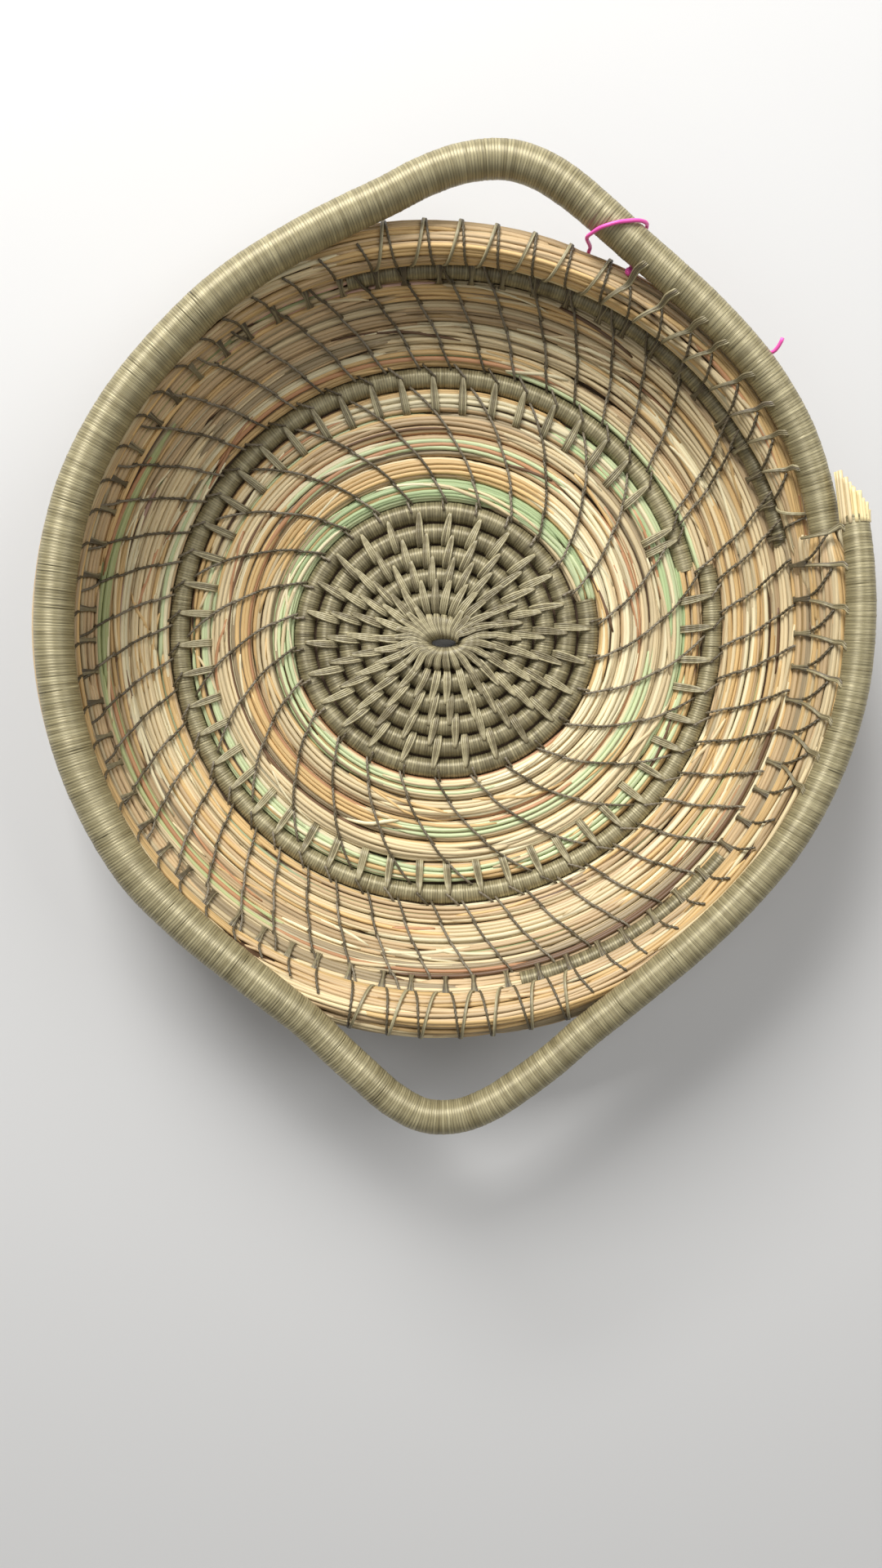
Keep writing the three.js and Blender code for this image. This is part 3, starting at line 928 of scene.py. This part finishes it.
def spoke_threads(start_turn, draw, from_eye=False):
    """All stitches of one spoke, row by row outwards, each row's turned a little further."""
    strands = []
    if from_eye:
        strands += eye_petal(start_turn - 2, draw)
        strands += petal(start_turn - 1, draw)
    turn = start_turn
    beside = 0
    while turn < last_sewn_turn:
        if turn < centre_end - 1:
            strands += petal(turn, draw)
            turn += 1 + centre_lean / 360
            continue
        lean = centre_lean if turn < centre_end else floor_lean
        lean = lean if turn < floor_band_end else wall_lean
        on_band = floor_end <= turn < floor_band_end
        if on_band:
            points = over_rows(turn - 1 + band_lean * (1 + band_out) / 360, band_out, band_up)
            strands += fan(points, along_coil(turn), thread_apart, band_widths, draw)
        strands += row_stitch(turn, lean, beside, draw, on_band or turn < centre_end)
        strands += row_stitch(turn, -lean, beside, draw, face=back_face)
        beside = stitch_beside - beside
        turn += 1 + lean / 360
    return strands


sewing = fibre_material("sewing thread", 0.45, (0.8, 1.12), 0.00004, twist=(60, 1.25, 0))
for spoke in range(floor_spokes):
    label = f"{spoke + 1:02d}"
    draw = np.random.default_rng(100 + spoke)
    start_turn = first_spoke_turn + spoke / floor_spokes
    strand_piece(
        f"long_spoke_{label}_thread", spoke_threads(start_turn, draw, from_eye=True),
        thread_sides, sewing, [f"long_spoke_{label}"],
    )
    half_turn = floor_end + (spoke + 0.5) / floor_spokes
    strand_piece(
        f"short_spoke_{label}_thread", spoke_threads(half_turn, draw),
        thread_sides, sewing, [f"short_spoke_{label}"],
    )


# Lashings of the rim and the handle
# Knots on the row under the rim. From each a dark thread climbs over the rim, and a lighter one
# comes down to the next knot. Where the handle is near, that one fans out to hold it.
rim_stitches = 68
knot_shift, knot_spread = 0.25, 0.06
rim_thread_gap = 0.00035
over_thread_gap = 0.0001
light_thread_gap = 0.0002
light_thread_apart = 0.0003
back_thread_gap = 0.00025
back_step = 0.0012
handle_reach = 0.0019
handle_clear = 40
steepest_angle, last_angle = 124, 168
tie_spread = 0.04
tie_points = 6
tie_degrees, tie_shares = (15, 30, 60, 320, 345, 375), (0.85, 0.7, 0.5, 0.5, 0.75, 0.9)
climb_shares = (0.4, 0.8, 1, 0.5, 0.4, 0.4)
wide_climb = 0.9
climb_places = ((60, -0.0008, 0.2), (47, 0, 0.15), (18, 0.0003, 0.05))
tie_widths = [0.8, 0.95, 0.85, 0.6, 0.4, 0.28, 0.2, 0.14, 0.14]
knot_out = [-0.6, -0.35, 0, 0.3, 0.5]
knot_up = [0.0013, 0.0027, 0.0031, 0.0029, 0.0022]
knot_widths = [1, 0.6, 0.35, 0.75, 1.1]
dark_shift, light_shift = 0.1, 0.95
dark_way, light_way = (0.36, 0.1), (0.42, 0.92)
open_angles = [-90, -60, -30, 0, 30, 60, 95, 130, 165]
back_angles = [-80, -110, -140, -168]
back_shares = np.array([0.36, 0.3, 0.2, 0.1])
under_handle = (96, 334)
# The knots sit in the crevice under the rim and take the darker thread colours as painted shade.
knot_painted_shades = ((thread_olive, 2), (thread_dark, 2))
tie_shades = ((thread_olive, 3), (thread_light, 2), (thread_grey, 1))


def rim_frame(turn):
    run = np.interp(turn, rim_path["turn"], rim_path["run"])
    return on_path(rim_path, run)


def on_rim(turn, angle, raised):
    """Points round the rim's section: 0 degrees is up the wall's line, 90 is into the bowl."""
    turn, angle, raised = np.broadcast_arrays(np.asarray(turn, float), np.radians(angle), raised)
    turn = np.clip(turn, rim_start, rim_end)
    centre, side, lift = rim_frame(turn)
    reach = (bundle_radius(turn) + bulge_at(turn) * rim_swell + raised)[..., None]
    return centre + side * reach * np.cos(angle)[..., None] + lift * reach * np.sin(angle)[..., None]


def degrees_at(turn):
    return change_angle * 360 / tau + 360 * (turn - rim_start)


def on_handle(turn, angle, raised):
    """Point on the handle near a turn of the rim: 0 degrees is into the bowl, and 90 is up."""
    degrees = degrees_at(turn)
    run = np.interp(degrees, handle_turned, handle_path["run"])
    inward = np.array([-cos(radians(degrees)), -sin(radians(degrees)), 0])
    reach = handle_radius(degrees) + raised
    turned = inward * cos(radians(angle)) + np.array([0, 0, sin(radians(angle))])
    return on_path(handle_path, run)[0] + turned * reach


def handle_seen(turn):
    """Where the handle lies round the rim's section, and how far it is from the rim."""
    degrees = degrees_at(turn)
    run = np.interp(degrees, handle_turned, handle_path["run"])
    rim, side, lift = rim_frame(turn)
    apart = on_path(handle_path, run)[0] - rim
    apart = apart - np.cross(side, lift) * np.dot(apart, np.cross(side, lift))
    facing = np.degrees(np.arctan2(np.dot(apart, lift), np.dot(apart, side)))
    return facing, np.linalg.norm(apart) - bundle_radius(turn) - handle_radius(degrees)


def slanted(angles, first, last):
    """Turns that make a thread round the rim look straight from above."""
    seen = -np.cos(np.radians(np.minimum(angles, steepest_angle)) + rim_slope)
    return first + (last - first) * (seen - seen[0]) / (seen[-1] - seen[0])


lashings, knots, backs = [], [], []
between = 1 / rim_stitches
for stitch in range(rim_stitches):
    draw = np.random.default_rng(300 + stitch)
    turn = wall_end + (stitch + knot_shift + draw.normal(0, knot_spread)) * between
    above = turn + 1
    across = along_coil(turn)
    knot = over_rows(turn, knot_out, knot_up)
    knots += fan(knot, across, thread_apart, knot_widths, draw, shades=knot_painted_shades)
    facing, gap = handle_seen(above)
    if gap < handle_reach:
        degrees = degrees_at(above)
        tied_at = np.interp(degrees, tie_degrees, tie_shares) + draw.normal(0, tie_spread)
        tied = above + between * tied_at
        angles = np.linspace(facing + handle_clear, last_angle, tie_points)
        climbing = slanted(angles, tied - dark_shift * between, above + dark_shift * between)
        dark = on_rim(climbing, angles, rim_thread_gap)
        if not under_handle[0] < degrees < under_handle[1]:
            climbs = np.interp(degrees, tie_degrees, climb_shares)
            tie = [
                on_handle(tied - back * between, angle * climbs, high)
                for angle, high, back in climb_places
            ]
            falling = slanted(angles, tied, above + light_shift * between)
            tie.extend(on_rim(falling, angles, rim_thread_gap + over_thread_gap))
            threads = 4 if climbs > wide_climb else 3
            lashings += fan(tie, across, thread_apart, tie_widths, draw, threads, tie_shades)
    else:
        bend = np.interp(open_angles, (-30, 165), (0, 1)) ** 1.5
        climbing = above + between * np.interp(bend, (0, 1), dark_way)
        dark = on_rim(climbing, open_angles, rim_thread_gap)
        falling = above + between * np.interp(bend, (0, 1), light_way)
        light = on_rim(falling, open_angles, rim_thread_gap + light_thread_gap)
        lashings += fan(light, across, light_thread_apart, [1] * len(light), draw, 2)
    line = smooth_run(dark, stitch_step)
    beside = np.broadcast_to(across, line.shape)
    lashings += two_ply(line, beside, pick(draw, [(thread_dark, 1)]), draw)
    line = smooth_run(on_rim(above + between * back_shares, back_angles, back_thread_gap), back_step)
    beside = np.broadcast_to(across, line.shape)
    backs += two_ply(line, beside, pick(draw, [(thread_olive, 1)]), draw)

strand_piece("rim_lashings", lashings, thread_sides, sewing)
strand_piece("rim_knots", knots, thread_sides, sewing)
strand_piece("rim_back_stitches", backs, thread_sides, sewing)


# Pink thread
# A loop of bright thread tied round the bar of the round handle and under the rim, with its loose
# end tucked along the underside of the bar. A place on its way is given in degrees round the
# basket, degrees round the bar or the rim, and metres off it.
pink = (244, 92, 178)
pink_radius = 0.0005
pink_step = 0.0008
pink_sides = 8
lump_size, lump_step = 0.0009, 0.0004
lump_turn, lump_rise, lump_thickness = 2.1, 0.4, 1.2
knot_place = (62.0, -146, 0.0013)
over_bar = [
    (62.4, -115, 0.0009), (63.0, -80, 0.0008), (63.5, -45, 0.0009), (63.8, -10, 0.001),
    (64.2, 20, 0.0008), (65, 48, 0.0007), (65.8, 72, 0.0007), (66.6, 92, 0.0007),
    (67.3, 112, 0.0007), (68, 135, 0.0008), (68.4, 158, 0.001), (68.7, -175, 0.0016),
]
under_rim = [
    (68.9, -56, 0.0016), (68.8, -80, 0.0011), (68, -100, 0.001), (66.5, -112, 0.001),
    (64.5, -112, 0.001), (63, -96, 0.001), (62.3, -72, 0.0009),
]
loose_end = [
    (61.6, -120, 0.001), (58, -100, 0.0009), (52, -85, 0.0009), (45, -60, 0.0008),
    (41, -32, 0.0008), (40.4, -14, 0.0012), (40.6, 0, 0.0028), (41, 6, 0.0042),
]


def round_bar(degrees, angle, raised):
    run = np.interp(degrees, handle_turned, handle_path["run"])
    centre, side, lift = on_path(handle_path, run)
    reach = handle_radius(degrees) + raised
    angle = radians(angle)
    return centre + side * reach * cos(angle) + lift * reach * sin(angle)


def behind_rim(degrees, angle, raised):
    return on_rim(rim_start + (radians(degrees) - change_angle) / tau, angle, raised)


knot_at = round_bar(*knot_place)
loop = [round_bar(*place) for place in over_bar] + [behind_rim(*place) for place in under_rim]
tail = [round_bar(*place) for place in loose_end]
pink_strands = []
for route in ([knot_at] + loop + [knot_at], [knot_at] + tail):
    line = smooth_run(route, pink_step)
    across = np.broadcast_to([0.01, 0.01, 1.01], line.shape)
    pink_strands.append((line, across, pink_radius, paint(*pink)))
for lump in range(3):
    swing = np.array([cos(lump * lump_turn), sin(lump * lump_turn), lump_rise])
    ends = knot_at - swing * lump_size, knot_at + swing * lump_size
    line = smooth_run([ends[0], knot_at, ends[1]], lump_step)
    across = np.broadcast_to(np.cross(swing, [0.3, 0.1, 1.0]), line.shape)
    pink_strands.append((line, across, pink_radius * lump_thickness, paint(*pink)))
strand_piece(
    "pink_thread", pink_strands, pink_sides,
    fibre_material("pink thread", 0.35, (0.92, 1.05), 0.00003),
)


# Studio
# A plain pale floor under soft light from the side of the round handle, with a weak fill.
bpy.ops.object.select_all(action="DESELECT")
bpy.ops.mesh.primitive_plane_add(size=6, location=(0, 0, -0.0002))
ground = bpy.context.object
ground.name = "studio floor"
pale = bpy.data.materials.new("studio floor")
pale.use_nodes = True
shader = pale.node_tree.nodes["Principled BSDF"]
shader.inputs["Base Color"].default_value = (0.56, 0.555, 0.545, 1)
shader.inputs["Roughness"].default_value = 0.9
ground.data.materials.append(pale)

world = bpy.data.worlds.new("studio")
world.use_nodes = True
background = world.node_tree.nodes["Background"]
background.inputs["Color"].default_value = (1, 1, 1, 1)
background.inputs["Strength"].default_value = 0.22
bpy.context.scene.world = world


def softbox(name, place, turned, width, watts):
    bpy.ops.object.light_add(type="AREA", location=place, rotation=turned)
    lamp = bpy.context.object
    lamp.name = name
    lamp.data.size = width
    lamp.data.energy = watts


softbox("window", (-0.3, 0.8, 0.64), (radians(-53), 0, radians(21)), 0.5, 18)
softbox("side window", (0.66, 0.4, 0.7), (radians(-48), 0, radians(-59)), 0.6, 4)
softbox("fill", (-0.3, -0.4, 0.9), (radians(29), 0, radians(-37)), 0.8, 1.5)
bpy.context.scene.view_settings.view_transform = "Standard"
